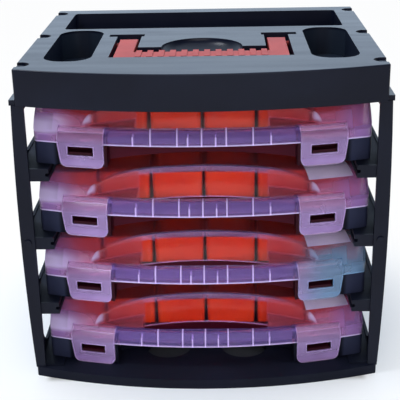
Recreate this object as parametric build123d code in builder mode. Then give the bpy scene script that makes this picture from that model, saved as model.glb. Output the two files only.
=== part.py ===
from build123d import *
import os
from math import radians, sqrt, tan

# A carry rack with a bowed front and four slide-in assortment cases.
# Millimetres, +Z up, the front looks along -Y, origin at the middle of the footprint on the ground.

os.makedirs("parts", exist_ok=True)

# Case sizes
case_count = 4
case_height = 54.5
case_set_back = 22.5
parting_height = 21.0
lid_wall = 2.0
base_wall = 2.0
case_corner_radius = 5.0
case_margin = 10.5

# Rack sizes
rack_depth = 304.0
front_bow = 26.5
cap_width = 330.0
cap_height = 33.0
cap_wall = 3.0
top_gap = 5.5
side_gap = 3.0
plinth_height = 9.5
skid_height = 1.5
runner_height = 12.0
lift_gap = 1.5
back_panel_wall = 3.0
side_wall = 3.0
flange_wall = 4.0
fit_gap = 0.3

# Sizes that follow from these
cap_half = cap_width / 2
case_width = cap_width - 2 * case_margin
case_pitch = case_height + lift_gap + runner_height
first_level = plinth_height + skid_height
levels = [first_level + i * case_pitch for i in range(case_count)]
cap_base = levels[-1] + case_height + top_gap
rack_height = cap_base + cap_height
front_y = -rack_depth / 2
back_y = rack_depth / 2
corner_y = front_y + front_bow
bow_radius = (cap_half**2 + front_bow**2) / (2 * front_bow)
bow_centre_y = front_y + bow_radius
case_radius = bow_radius - case_set_back
case_half = case_width / 2
bay_half = case_half + side_gap
bow_axis = Axis((0, bow_centre_y, 0), (0, 0, 1))


def bow_y(x, set_back):
    """Place along Y of the bow that lies set_back behind the fascia, at x."""
    radius = bow_radius - set_back
    return bow_centre_y - sqrt(radius**2 - x**2)


def bowed_outline(half_width, set_back, rear_y, front_corner=0.0):
    """Plan outline with a bowed front and a straight back."""
    edge_y = bow_y(half_width, set_back)
    with BuildSketch(mode=Mode.PRIVATE) as plan:
        with BuildLine():
            ThreePointArc((-half_width, edge_y), (0, bow_y(0, set_back)), (half_width, edge_y))
            Polyline((half_width, edge_y), (half_width, rear_y), (-half_width, rear_y), (-half_width, edge_y))
        make_face()
        if front_corner:
            fillet(plan.vertices().group_by(Axis.Y)[0], front_corner)
    return plan.sketch


# Rack top: a cap with a tray, two wells and the handle recess let into its deck
pocket_wall = 2.5
tray_inset = 21.5
tray_length = cap_width - 2 * tray_inset
tray_depth_y = 86.0
tray_y = 88.5
well_width = 44.0
well_length = 136.0
well_radius = 19.0
well_inset = 43.0
well_x = cap_half - well_inset
well_y = -30.5
well_depth = 28.0
recess_depth = 16.0
recess_inset = 80.5
recess_half = cap_half - recess_inset
recess_front_y = -85.0
recess_rear_y = -44.5
arm_slot_width = 24.0
arm_slot_inner = recess_half - arm_slot_width
arm_slot_end_y = 5.5
pivot_slot_end_y = 15.5
pivot_slot_inset = 2.5
pivot_slot_reach = 8.5
pivot_slot_inner = arm_slot_inner - pivot_slot_inset
pivot_slot_outer = recess_half + pivot_slot_reach
scoop_radius = 38.5
notch_radius = 8.5
notch_inset = 4.0
notch_depth = 16.0
notch_places = (-108.0, 12.5, 132.5)
bead_reach = 5.3
cap_corner = 2.5
cap_edge = 1.2
tray_corner = 4.0
bead_height = 5.0
deck_z = rack_height - cap_wall
recess_floor_z = rack_height - recess_depth
tray_floor_z = cap_base + pocket_wall
well_floor_z = rack_height - well_depth


def recess_plan(grow):
    """Plan of the handle recess, widened by grow for the wall round it."""
    arm_mid = (arm_slot_inner + recess_half) / 2
    slot_mid = (pivot_slot_inner + pivot_slot_outer) / 2
    slot_width = pivot_slot_outer - pivot_slot_inner
    bar_mid = (recess_front_y + recess_rear_y) / 2
    with BuildSketch(mode=Mode.PRIVATE) as plan:
        with Locations((0, bar_mid)):
            Rectangle(2 * recess_half + 2 * grow, recess_rear_y - recess_front_y + 2 * grow)
        with Locations(*((s * arm_mid, (recess_front_y + arm_slot_end_y) / 2) for s in (-1, 1))):
            Rectangle(arm_slot_width + 2 * grow, arm_slot_end_y - recess_front_y + 2 * grow)
        with Locations(*((s * slot_mid, (arm_slot_end_y + pivot_slot_end_y) / 2) for s in (-1, 1))):
            Rectangle(slot_width + 2 * grow, pivot_slot_end_y - arm_slot_end_y + 2 * grow)
    return plan.sketch


def scoop_profile(grow):
    """Quarter ellipse that turns into the bowl of the finger scoop."""
    with BuildSketch(Plane.XZ, mode=Mode.PRIVATE) as plan:
        Ellipse(scoop_radius + grow, recess_depth + grow)
        with Locations((scoop_radius, -rack_height / 2)):
            Rectangle(2 * scoop_radius, rack_height, mode=Mode.INTERSECT)
    return plan.sketch.moved(Location((0, recess_rear_y, rack_height)))


# Carry handle, folded flat into its recess
arm_gap = 3.5
arm_width = 17.5
arm_outer = recess_half - arm_gap
arm_inner = arm_outer - arm_width
handle_front_y = -84.0
grip_depth = 24.5
handle_drop = 1.0
handle_thick = 13.0
handle_edge = 1.0
pivot_y = -4.5
trunnion_radius = 3.0
trunnion_reach = 5.5
trunnion_fit = 0.05
grip_rib_count = 12
grip_rib_width = 5.4
grip_rib_proud = 3.0
grip_rib_rise = 0.8
grip_rib_pitch = 2 * arm_inner / grip_rib_count
handle_top = rack_height - handle_drop
pivot_z = handle_top - handle_thick / 2
grip_rear_y = handle_front_y + grip_depth
scoop_axis = Axis((0, recess_rear_y, 0), (0, 0, 1))

with BuildPart() as rack_top:
    with BuildSketch(Plane.XY.offset(cap_base)):
        add(bowed_outline(cap_half, 0, back_y))
    extrude(amount=cap_height)
    fillet(rack_top.edges().filter_by(Axis.Z), cap_corner)
    fillet(rack_top.faces().sort_by(Axis.Z)[-1].edges(), cap_edge)
    # Bead along the foot of each side
    with Locations(
        *((s * cap_half, (corner_y + back_y) / 2, cap_base + bead_height / 2) for s in (-1, 1))
    ):
        Box(2 * bead_reach, back_y - corner_y - 2 * cap_edge, bead_height)
    with BuildSketch(Plane.XY.offset(cap_base)):
        add(bowed_outline(cap_half - cap_wall, cap_wall, back_y - cap_wall))
    extrude(amount=cap_height - cap_wall, mode=Mode.SUBTRACT)
    # Walls that hang from the deck round the tray, the wells, the handle recess and the scoop
    with BuildSketch(Plane.XY.offset(cap_base)):
        with Locations((0, tray_y)):
            Rectangle(tray_length + 2 * pocket_wall, tray_depth_y + 2 * pocket_wall)
    extrude(amount=deck_z - cap_base)
    with BuildSketch(Plane.XY.offset(well_floor_z - pocket_wall)):
        with Locations((-well_x, well_y), (well_x, well_y)):
            RectangleRounded(well_width + 2 * pocket_wall, well_length + 2 * pocket_wall, well_radius)
    extrude(amount=deck_z - well_floor_z + pocket_wall)
    with BuildSketch(Plane.XY.offset(recess_floor_z - pocket_wall)):
        add(recess_plan(pocket_wall))
    extrude(amount=deck_z - recess_floor_z + pocket_wall)
    revolve(scoop_profile(pocket_wall), axis=scoop_axis)
    # The hollows themselves
    with BuildSketch(Plane.XY.offset(tray_floor_z)):
        with Locations((0, tray_y)):
            RectangleRounded(tray_length, tray_depth_y, tray_corner)
    extrude(amount=cap_height, mode=Mode.SUBTRACT)
    with BuildSketch(Plane.XY.offset(well_floor_z)):
        with Locations((-well_x, well_y), (well_x, well_y)):
            RectangleRounded(well_width, well_length, well_radius)
    extrude(amount=cap_height, mode=Mode.SUBTRACT)
    with BuildSketch(Plane.XY.offset(recess_floor_z)):
        add(recess_plan(0))
    extrude(amount=cap_height, mode=Mode.SUBTRACT)
    revolve(scoop_profile(0), axis=scoop_axis, mode=Mode.SUBTRACT)
    # Notches in the deck's side edges that show the snap hooks
    with BuildSketch(Plane.XY.offset(rack_height - notch_depth)):
        for side in (-1, 1):
            for place in notch_places:
                with Locations((side * (cap_half - notch_inset), place)):
                    Circle(notch_radius)
                with Locations((side * cap_half, place)):
                    Rectangle(2 * notch_inset, 2 * notch_radius)
    extrude(amount=notch_depth, mode=Mode.SUBTRACT)
    # Bearings for the handle's trunnions in the recess walls
    for side in (-1, 1):
        with Locations(Location((side * (recess_half + pocket_wall / 2), pivot_y, pivot_z), (0, 90, 0))):
            Cylinder(trunnion_radius + trunnion_fit, 3 * pocket_wall, mode=Mode.SUBTRACT)
rack_top.part.label = "rack_top"
export_step(rack_top.part, "parts/rack_top.step")

with BuildPart() as carry_handle:
    with BuildSketch(Plane.XY.offset(handle_top - handle_thick)):
        with Locations((0, (handle_front_y + grip_rear_y) / 2)):
            Rectangle(2 * arm_outer, grip_depth)
        with Locations(*((s * (arm_outer + arm_inner) / 2, (handle_front_y + pivot_y) / 2) for s in (-1, 1))):
            Rectangle(arm_outer - arm_inner, pivot_y - handle_front_y)
    extrude(amount=handle_thick)
    fillet(carry_handle.faces().sort_by(Axis.Z)[-1].edges(), handle_edge)
    fillet(carry_handle.faces().sort_by(Axis.Z)[0].edges(), handle_edge)
    # Rounded arm ends about the pivot, and the trunnions outside them
    for side in (-1, 1):
        with Locations(Location((side * (arm_outer + arm_inner) / 2, pivot_y, pivot_z), (0, 90, 0))):
            Cylinder(handle_thick / 2, arm_outer - arm_inner)
        with Locations(Location((side * (arm_outer + trunnion_reach / 2), pivot_y, pivot_z), (0, 90, 0))):
            Cylinder(trunnion_radius, trunnion_reach)
    # Grip ribs that wrap over the rear edge of the bar
    rib_depth = grip_depth - 2 * handle_edge + grip_rib_proud
    rib_height = handle_thick - 2 * handle_edge + grip_rib_rise
    for i in range(grip_rib_count):
        rib_x = (i - (grip_rib_count - 1) / 2) * grip_rib_pitch
        with Locations((rib_x, grip_rear_y + grip_rib_proud - rib_depth / 2,
                        handle_top + grip_rib_rise - rib_height / 2)):
            Box(grip_rib_width, rib_depth, rib_height)
carry_handle.part.label = "carry_handle"
export_step(carry_handle.part, "parts/carry_handle.step")


# Rack sides: a slightly barrelled wall with flanges, runners, windows and snap hooks
side_out = 3.5
side_bulge = 2.0
side_top_half = cap_half + side_out
side_mid_half = side_top_half + side_bulge
side_foot_half = side_top_half - side_bulge
shelf_wall = 4.0
runner_under = 14.5
runner_front_gap = 2.0
runner_groove = 3.0
window_length = 211.0
window_height = 51.0
window_rise = 1.0
hook_width = 12.0
hook_wall = 3.8
hook_head = 2.6
boss_radius = 3.5
boss_proud = 1.5
runner_inner = case_half - runner_under
back_face_y = back_y - flange_wall - back_panel_wall
rail_rear_y = back_face_y - fit_gap
side_mid_z = (plinth_height + cap_base) / 2


def side_section(inner_top, inner_mid, inner_foot):
    """Section of a rack side between its barrelled outer face and an inner line."""
    with BuildSketch(mode=Mode.PRIVATE) as section:
        with BuildLine():
            ThreePointArc((side_foot_half, plinth_height), (side_mid_half, side_mid_z),
                          (side_top_half, cap_base))
            Line((side_top_half, cap_base), (inner_top, cap_base))
            if inner_top == inner_mid:
                Line((inner_top, cap_base), (inner_foot, plinth_height))
            else:
                ThreePointArc((inner_top, cap_base), (inner_mid, side_mid_z), (inner_foot, plinth_height))
            Line((inner_foot, plinth_height), (side_foot_half, plinth_height))
        make_face()
    return section.sketch


with BuildPart() as rack_side_right:
    with BuildSketch(Plane.XZ.offset(-back_y)):
        add(side_section(side_top_half - side_wall, side_mid_half - side_wall, side_foot_half - side_wall))
    extrude(amount=back_y - corner_y)
    # Windows, one beside each case
    with BuildSketch(Plane.YZ.offset(bay_half)):
        for level in levels:
            with Locations(((corner_y + back_y) / 2, level + window_rise + window_height / 2)):
                SlotOverall(window_length, window_height)
    extrude(amount=side_mid_half - bay_half + 1, mode=Mode.SUBTRACT)
    # Front and rear flanges
    for flange_front_y in (corner_y, back_y - flange_wall):
        with BuildSketch(Plane.XZ.offset(-flange_front_y - flange_wall)):
            add(side_section(bay_half, bay_half, bay_half))
        extrude(amount=flange_wall)
    # Shelf that carries the top, a foot strip on the plinth, and the lowest skid
    rail_front_y = corner_y + runner_front_gap
    rail_length = rail_rear_y - rail_front_y
    rail_y = (rail_rear_y + rail_front_y) / 2
    shelf_outer = side_top_half - side_wall / 2
    with Locations(((bay_half + shelf_outer) / 2, rail_y, cap_base - shelf_wall / 2)):
        Box(shelf_outer - bay_half, rail_length, shelf_wall)
    skid_outer = side_foot_half - side_wall / 2
    with Locations(((runner_inner + skid_outer) / 2, rail_y, plinth_height + skid_height / 2)):
        Box(skid_outer - runner_inner, rail_length, skid_height)
    # Runners for the upper cases, each with a groove along its inner edge
    runner_outer = side_mid_half - side_wall / 2
    for level in levels[1:]:
        with Locations(((runner_inner + runner_outer) / 2, rail_y, level - runner_height / 2)):
            Box(runner_outer - runner_inner, rail_length, runner_height)
        with Locations((runner_inner, rail_y, level - runner_height / 2)):
            Box(2 * runner_groove, rail_length, runner_groove, mode=Mode.SUBTRACT)
    # Hooks that rise into the top's notches
    hook_x = cap_half - cap_wall - fit_gap - hook_wall / 2
    hook_top = rack_height - cap_wall + 1
    head_base = rack_height - notch_depth + fit_gap
    for place in notch_places:
        with Locations((hook_x, place, (cap_base - shelf_wall + hook_top) / 2)):
            Box(hook_wall, hook_width, hook_top - cap_base + shelf_wall)
        with Locations((hook_x + hook_wall / 2 + hook_head / 2, place, (head_base + hook_top) / 2)):
            Box(hook_head, hook_width, hook_top - head_base)
    # Small round boss on the front flange
    boss_spot = ((bay_half + side_mid_half) / 2, corner_y - boss_proud / 2, side_mid_z)
    with Locations(Location(boss_spot, (90, 0, 0))):
        Cylinder(boss_radius, boss_proud)
rack_side_right.part.label = "rack_side_right"
export_step(rack_side_right.part, "parts/rack_side_right.step")

with BuildPart() as rack_side_left:
    add(mirror(rack_side_right.part, about=Plane.YZ))
rack_side_left.part.label = "rack_side_left"
export_step(rack_side_left.part, "parts/rack_side_left.step")


# Rack floor: a shallow plinth, open underneath, with two round holes near the front
plinth_wall = 3.0
plinth_edge = 1.0
plinth_half = side_foot_half - 0.5
hole_radius = 23.0
hole_x = 38.0
hole_y = -86.5
floor_rib_places = (-40.0, 20.0, 80.0)

with BuildPart() as rack_floor:
    with BuildSketch():
        add(bowed_outline(plinth_half, 0, back_y))
    extrude(amount=plinth_height)
    fillet(rack_floor.edges().filter_by(Axis.Z), cap_corner)
    with BuildSketch():
        add(bowed_outline(plinth_half - plinth_wall, plinth_wall, back_y - plinth_wall))
        with Locations((-hole_x, hole_y), (hole_x, hole_y)):
            Circle(hole_radius + plinth_wall, mode=Mode.SUBTRACT)
        with Locations(*((0, rib_y) for rib_y in floor_rib_places)):
            Rectangle(2 * plinth_half, plinth_wall, mode=Mode.SUBTRACT)
    extrude(amount=plinth_height - plinth_wall, mode=Mode.SUBTRACT)
    with BuildSketch():
        with Locations((-hole_x, hole_y), (hole_x, hole_y)):
            Circle(hole_radius)
    extrude(amount=plinth_height, mode=Mode.SUBTRACT)
rack_floor.part.label = "rack_floor"
export_step(rack_floor.part, "parts/rack_floor.step")

# Rack back: a panel between the rear flanges and the cases, with ribs on its outside
panel_half = side_foot_half - side_wall - fit_gap
panel_rib_width = 3.0
panel_rib_places = (-120.0, -60.0, 0.0, 60.0, 120.0)

with BuildPart() as rack_back:
    with Locations((0, back_face_y + back_panel_wall / 2, (plinth_height + cap_base) / 2)):
        Box(2 * panel_half, back_panel_wall, cap_base - plinth_height)
    with Locations(*((x, back_y - flange_wall / 2 - fit_gap, side_mid_z) for x in panel_rib_places)):
        Box(panel_rib_width, flange_wall, cap_base - plinth_height - 2 * shelf_wall)
rack_back.part.label = "rack_back"
export_step(rack_back.part, "parts/rack_back.step")


# One case, modelled with its underside at z = 0
rear_gap = 5.0
skirt_top = 29.0
slope_run = 45.0
lid_edge = 5.0
pocket_half = 107.5
pocket_reach = 50.0
pocket_arch = 214.0
pocket_corner = 14.5
pocket_rim = 3.0
floor_inner = 62.0
floor_corner = 8.0
foot_lift = 1.2
bar_depth = 11.6
bar_top = 35.4
bar_edge = 3.0
bar_rib = 1.2
bar_hollow_half = 84.0
long_ribs = (-46.0, -22.0, 0.0, 22.0, 46.0)
short_ribs = (-62.0, -12.5, 12.5, 62.0)
wing_inner = 86.0
wing_front_y = -104.0
base_step = 0.4
seat_clear = 0.6
tub_floor = 2.0
case_rear_y = back_face_y - rear_gap
case_front_y = front_y + case_set_back
bar_rear_y = case_front_y + bar_depth
pocket_rear_y = case_front_y + pocket_reach
cavity_front_y = pocket_rear_y + base_wall
slope_rise = case_height - skirt_top
slope_radius = (slope_run**2 + slope_rise**2) / (2 * slope_rise)
slope_y = case_front_y + slope_run
slope_z = case_height - slope_radius

# Latches: a slotted tab with a round bead at its top, hung in the lid
latch_x = 110.5
latch_width = 44.0
latch_thick = 2.2
latch_proud = 1.2
latch_drop = 1.0
latch_bend = 27.5
latch_bend_radius = 6.0
latch_taper = 3.0
latch_taper_z = 20.0
latch_corner = 6.5
bead_radius = 2.8
bead_in = 5.4
bead_z = 32.5
stub_radius = 1.5
stub_reach = 1.6
stub_fit = 0.05
slot_width = 25.0
slot_height = 8.6
slot_z = 14.4
notch_clear = 0.4
notch_back = 9.0
notch_top = 36.6
catch_width = 22.0
catch_height = 2.6
catch_rise = 0.7
catch_tip = 0.2
catch_pocket_depth = 6.5
latch_seat = 1.6

# Lid hinges at the rear
hinge_x = 95.0
hinge_axis_out = 0.4
knuckle_radius = 3.4
base_knuckle = 12.0
lid_knuckle = 8.0
pin_radius = 1.5
pin_fit = 0.05
hinge_y = case_rear_y + hinge_axis_out
hinge_z = parting_height

# Bins
column_count = 6
bin_gap = 2.0
bin_height = 45.0
bin_wall = 1.4
bin_taper = 1.5
bin_corner = 4.0
front_bin_depth = 71.0
bin_rear_gap = 1.5
rear_columns = 3


def latch_frame(side):
    """Plane on the bow at a latch: x along the front, y up, z out of the front."""
    x = side * latch_x
    lean = x / case_radius
    run = sqrt(1 - lean**2)
    return Plane(origin=(x, bow_y(x, case_set_back), 0), x_dir=(run, lean, 0), z_dir=(lean, -run, 0))


def latch_section(side):
    """Plane across a latch: x out of the front, y up."""
    frame = latch_frame(side)
    return Plane(origin=frame.origin, x_dir=frame.z_dir, z_dir=frame.x_dir * -1)


def latch_rod(side, radius, length, centre=0.0):
    """Round rod along a latch's pivot line."""
    frame = latch_frame(side)
    place = frame.origin + frame.x_dir * centre - frame.z_dir * bead_in + Vector(0, 0, bead_z)
    line = Plane(origin=place, z_dir=frame.x_dir)
    with BuildPart(line, mode=Mode.PRIVATE) as rod:
        Cylinder(radius, length)
    return rod.part


def pocket_plan(grow):
    """Plan of the finger pocket: an arch with rounded shoulders, run out through the front."""
    half = pocket_half + grow
    arch = pocket_arch + grow
    rear_y = pocket_rear_y + grow
    shoulder_y = rear_y - arch + sqrt(arch**2 - half**2)
    outer_y = case_front_y - slope_run
    with BuildSketch(mode=Mode.PRIVATE) as plan:
        with BuildLine():
            ThreePointArc((-half, shoulder_y), (0, rear_y), (half, shoulder_y))
            Polyline((half, shoulder_y), (half, outer_y), (-half, outer_y), (-half, shoulder_y))
        make_face()
        fillet(plan.vertices().group_by(Axis.Y)[-1], pocket_corner + grow)
    return plan.sketch


def lid_form(inset):
    """Solid of the lid's outer shape, drawn in by inset on the front, sides, rear and top."""
    radius = slope_radius - inset
    start_z = slope_z + sqrt(radius**2 - (slope_run - inset) ** 2)
    middle_y = case_front_y + inset + (slope_run - inset) / 2
    middle_z = slope_z + sqrt(radius**2 - (slope_y - middle_y) ** 2)
    top = case_height - inset
    with BuildPart(mode=Mode.PRIVATE) as form:
        with BuildSketch(Plane.XY.offset(parting_height - inset)):
            add(bowed_outline(case_half - inset, case_set_back + inset, case_rear_y - inset,
                              case_corner_radius))
        extrude(amount=top - parting_height + inset)
        fillet(form.faces().sort_by(Axis.Z)[-1].edges().filter_by(Axis.Y), lid_edge - inset)
        with BuildSketch(Plane.YZ):
            with BuildLine():
                ThreePointArc((case_front_y + inset, start_z), (middle_y, middle_z), (slope_y, top))
                Polyline((slope_y, top), (slope_y, top + slope_run),
                         (case_front_y - slope_run, top + slope_run),
                         (case_front_y - slope_run, start_z), (case_front_y + inset, start_z))
            make_face()
        revolve(axis=bow_axis, mode=Mode.SUBTRACT)
    return form.part


def bar_ring(inset):
    """The handle bar's section, turned all the way round the bow's axis."""
    front = case_front_y - bar_depth if inset == 0 else case_front_y + inset
    with BuildPart(mode=Mode.PRIVATE) as ring:
        with BuildSketch(Plane.YZ) as section:
            with BuildLine():
                Polyline((front, parting_height - lid_wall), (front, bar_top - inset),
                         (bar_rear_y - inset, bar_top - inset),
                         (bar_rear_y - inset, parting_height - lid_wall), close=True)
            make_face()
            fillet(section.vertices().group_by(Axis.Y)[-1].sort_by(Axis.X)[-1], bar_edge - inset / 2)
        revolve(axis=bow_axis)
    return ring.part


lid_outer = lid_form(0)
lid_inner = lid_form(lid_wall)
cheek = latch_width / 2 + notch_clear + lid_wall

# Room for the bins, short of the finger pocket's wall and of the blocks that hold the latches
with BuildPart() as lid_cavity:
    add(lid_inner)
    with BuildSketch():
        add(pocket_plan(lid_wall))
    extrude(amount=2 * case_height, mode=Mode.SUBTRACT)
    for side in (-1, 1):
        with BuildSketch(latch_section(side)):
            Rectangle(2 * (notch_back + lid_wall), 4 * case_height)
        extrude(amount=cheek, both=True, mode=Mode.SUBTRACT)

# Finger pocket, cut above the handle bar and the floors at its ends, and right through between them
with BuildPart() as finger_pocket:
    with BuildSketch():
        add(pocket_plan(0))
    extrude(amount=2 * case_height)
    add(bar_ring(0), mode=Mode.SUBTRACT)
    with BuildSketch(Plane.XY.offset(bar_top - lid_wall)):
        with Locations((0, case_front_y)):
            Rectangle(4 * pocket_half, 4 * pocket_reach)
        with Locations((0, bar_rear_y - fit_gap + pocket_reach)):
            RectangleRounded(2 * floor_inner, 2 * pocket_reach, floor_corner, mode=Mode.SUBTRACT)
    extrude(amount=lid_wall, mode=Mode.SUBTRACT)

# Hollow of the handle bar, open underneath and crossed by thin ribs
with BuildPart() as bar_hollow:
    add(bar_ring(lid_wall))
    add(lid_inner, mode=Mode.INTERSECT)
    with Locations((0, case_front_y, parting_height)):
        Box(2 * bar_hollow_half, 2 * slope_run, 2 * case_height, mode=Mode.INTERSECT)
    for rib_x in long_ribs:
        with Locations((rib_x, case_front_y, (parting_height + bar_top) / 2)):
            Box(bar_rib, 2 * slope_run, bar_top - parting_height, mode=Mode.SUBTRACT)
    for rib_x in short_ribs:
        with Locations((rib_x, case_front_y, parting_height + (bar_top - parting_height) / 4)):
            Box(bar_rib, 2 * slope_run, (bar_top - parting_height) / 2, mode=Mode.SUBTRACT)

with BuildPart() as lid:
    add(lid_outer)
    add(finger_pocket.part, mode=Mode.SUBTRACT)
    rim = lid.edges().filter_by(Axis.Z, reverse=True).filter_by_position(Axis.Z, bar_top + 1, case_height)
    rim = rim.filter_by_position(Axis.Y, bar_rear_y - bar_depth, pocket_rear_y + 1)
    fillet(rim.filter_by_position(Axis.X, -pocket_half, pocket_half), pocket_rim)
    add(lid_cavity.part, mode=Mode.SUBTRACT)
    add(bar_hollow.part, mode=Mode.SUBTRACT)
    # The pocket wall ends a little above the base, between the floors
    with Locations((0, pocket_rear_y, parting_height)):
        Box(2 * floor_inner, 2 * bar_depth, 2 * foot_lift, mode=Mode.SUBTRACT)
    for side in (-1, 1):
        # Notch for a latch, and the bearings of its stub pins
        with BuildSketch(latch_section(side)):
            Rectangle(2 * notch_back, 2 * notch_top)
        extrude(amount=cheek - lid_wall, both=True, mode=Mode.SUBTRACT)
        add(latch_rod(side, stub_radius + stub_fit, 2 * cheek + 2 * lid_wall), mode=Mode.SUBTRACT)
    for side in (-1, 1):
        # Two knuckles for each hinge pin, and room for the base's knuckle between them
        with Locations(Location((side * hinge_x, hinge_y, hinge_z), (0, 90, 0))):
            Cylinder(knuckle_radius + fit_gap, base_knuckle + 2 * fit_gap, mode=Mode.SUBTRACT)
        for end in (-1, 1):
            knuckle_x = side * hinge_x + end * (base_knuckle / 2 + fit_gap + lid_knuckle / 2)
            with Locations(Location((knuckle_x, hinge_y, hinge_z), (0, 90, 0))):
                Cylinder(knuckle_radius, lid_knuckle)
        with Locations(Location((side * hinge_x, hinge_y, hinge_z), (0, 90, 0))):
            Cylinder(pin_radius + pin_fit, 2 * (base_knuckle + 2 * lid_knuckle), mode=Mode.SUBTRACT)
lid.part.label = "lid"

with BuildPart() as base:
    with BuildSketch():
        add(bowed_outline(case_half, case_set_back + base_step, case_rear_y, case_corner_radius))
    extrude(amount=parting_height)
    # Finger room in front of the tub, between the two corner wings
    with BuildSketch():
        add(pocket_plan(0))
        Rectangle(2 * wing_inner, rack_depth, mode=Mode.INTERSECT)
    extrude(amount=parting_height, mode=Mode.SUBTRACT)
    # The tub, and the hollows under the wings
    tub_y = (cavity_front_y + case_rear_y - base_wall) / 2
    with BuildSketch(Plane.XY.offset(tub_floor)):
        with Locations((0, tub_y)):
            RectangleRounded(2 * (case_half - base_wall), case_rear_y - base_wall - cavity_front_y, base_wall)
    extrude(amount=parting_height, mode=Mode.SUBTRACT)
    wing_width = case_half - base_wall - wing_inner - base_wall
    wing_hollow_y = (cavity_front_y - base_wall + wing_front_y) / 2
    with BuildSketch():
        for side in (-1, 1):
            with Locations((side * (wing_inner + base_wall + wing_width / 2), wing_hollow_y)):
                Rectangle(wing_width, cavity_front_y - base_wall - wing_front_y)
    extrude(amount=parting_height - base_wall, mode=Mode.SUBTRACT)
    for side in (-1, 1):
        # Seat for the tab, then the pocket with the catch that the slot snaps over
        with BuildSketch(latch_section(side)):
            with Locations((slope_run / 2 - latch_seat, parting_height / 2)):
                Rectangle(slope_run, parting_height)
        extrude(amount=latch_width / 2 + seat_clear, both=True, mode=Mode.SUBTRACT)
        with BuildSketch(latch_section(side)):
            with Locations((-latch_seat - catch_pocket_depth / 2, slot_z)):
                Rectangle(catch_pocket_depth + 1, slot_height + 2 * notch_clear)
        extrude(amount=slot_width / 2 + notch_clear, both=True, mode=Mode.SUBTRACT)
        catch_z = slot_z - slot_height / 2 + catch_rise + catch_height / 2
        catch_length = catch_tip + latch_seat + catch_pocket_depth + base_wall
        with BuildSketch(latch_section(side)):
            with Locations((catch_tip - catch_length / 2, catch_z)):
                Rectangle(catch_length, catch_height)
        extrude(amount=catch_width / 2, both=True)
    for side in (-1, 1):
        # One knuckle for each hinge pin, and room for the lid's knuckles beside it
        for end in (-1, 1):
            knuckle_x = side * hinge_x + end * (base_knuckle / 2 + fit_gap + lid_knuckle / 2)
            with Locations(Location((knuckle_x, hinge_y, hinge_z), (0, 90, 0))):
                Cylinder(knuckle_radius + fit_gap, lid_knuckle + 2 * fit_gap, mode=Mode.SUBTRACT)
        with Locations(Location((side * hinge_x, hinge_y, hinge_z), (0, 90, 0))):
            Cylinder(knuckle_radius, base_knuckle)
            Cylinder(pin_radius + pin_fit, 2 * (base_knuckle + 2 * lid_knuckle), mode=Mode.SUBTRACT)
base.part.label = "base"


def make_latch(side):
    """One latch: a bent tab with a slot, a bead and two stub pins."""
    mid = latch_proud - latch_thick / 2
    half = latch_width / 2
    with BuildPart(mode=Mode.PRIVATE) as latch:
        with BuildSketch(latch_section(side)):
            with BuildLine():
                FilletPolyline((mid, -latch_drop), (mid, latch_bend), (-bead_in, bead_z),
                               radius=latch_bend_radius)
            trace(line_width=latch_thick)
            with Locations((-bead_in, bead_z)):
                Circle(bead_radius)
        extrude(amount=half, both=True)
        # Front outline: the outer edge leans in towards the foot
        with BuildSketch(latch_frame(side)) as front:
            Polygon((-side * half, bead_z + 2 * bead_radius), (side * half, bead_z + 2 * bead_radius),
                    (side * half, latch_taper_z), (side * (half - latch_taper), -latch_drop),
                    (-side * half, -latch_drop), align=None)
            fillet(front.vertices().group_by(Axis.Y)[0], latch_corner)
        extrude(amount=slope_run / 2, both=True, mode=Mode.INTERSECT)
        with BuildSketch(latch_frame(side)):
            with Locations((0, slot_z)):
                Rectangle(slot_width, slot_height)
        extrude(amount=slope_run / 2, both=True, mode=Mode.SUBTRACT)
        add(latch_rod(side, stub_radius, latch_width + 2 * stub_reach))
    return latch.part


with BuildPart() as hinge_pin:
    with Locations(Location((0, hinge_y, hinge_z), (0, 90, 0))):
        Cylinder(pin_radius, base_knuckle + 2 * lid_knuckle + 2 * fit_gap)
hinge_pin.part.label = "hinge_pin"


def make_bin(width, depth):
    """One open bin that widens towards its rim, standing at the origin."""
    flare = 2 * bin_height * tan(radians(bin_taper))
    with BuildPart(mode=Mode.PRIVATE) as tray:
        with BuildSketch():
            RectangleRounded(width - flare, depth - flare, bin_corner)
        extrude(amount=bin_height, taper=-bin_taper)
        with BuildSketch(Plane.XY.offset(bin_wall)):
            RectangleRounded(width - flare - 2 * bin_wall, depth - flare - 2 * bin_wall,
                             bin_corner - bin_wall)
        extrude(amount=bin_height, taper=-bin_taper, mode=Mode.SUBTRACT)
    return tray.part


bins_start_y = cavity_front_y + fit_gap
bins_end_y = case_rear_y - base_wall - bin_rear_gap
column_pitch = 2 * (case_half - base_wall) / column_count
rear_pitch = 2 * (case_half - base_wall) / rear_columns
rear_bin_depth = bins_end_y - bins_start_y - front_bin_depth - bin_gap / 2

with BuildPart() as bins_front:
    with Locations((0, bins_start_y + front_bin_depth / 2, tub_floor)):
        with GridLocations(column_pitch, 1, column_count, 1):
            add(make_bin(column_pitch - bin_gap, front_bin_depth))

with BuildPart() as bins_rear:
    with Locations((0, bins_end_y - rear_bin_depth / 2, tub_floor)):
        with GridLocations(rear_pitch, 1, rear_columns, 1):
            add(make_bin(rear_pitch - bin_gap, rear_bin_depth))

case_parts = {
    "base": base.part,
    "lid": lid.part,
    "latch_left": make_latch(-1),
    "latch_right": make_latch(1),
    "hinge_pin_left": hinge_pin.part.moved(Location((-hinge_x, 0, 0))),
    "hinge_pin_right": hinge_pin.part.moved(Location((hinge_x, 0, 0))),
    "bins_front": bins_front.part,
    "bins_rear": bins_rear.part,
}

# Four like cases, numbered from the top
for number, level in enumerate(reversed(levels), start=1):
    for name, piece in case_parts.items():
        placed = piece.moved(Location((0, 0, level)))
        placed.label = f"case_{number}_{name}"
        export_step(placed, f"parts/{placed.label}.step")
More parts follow.
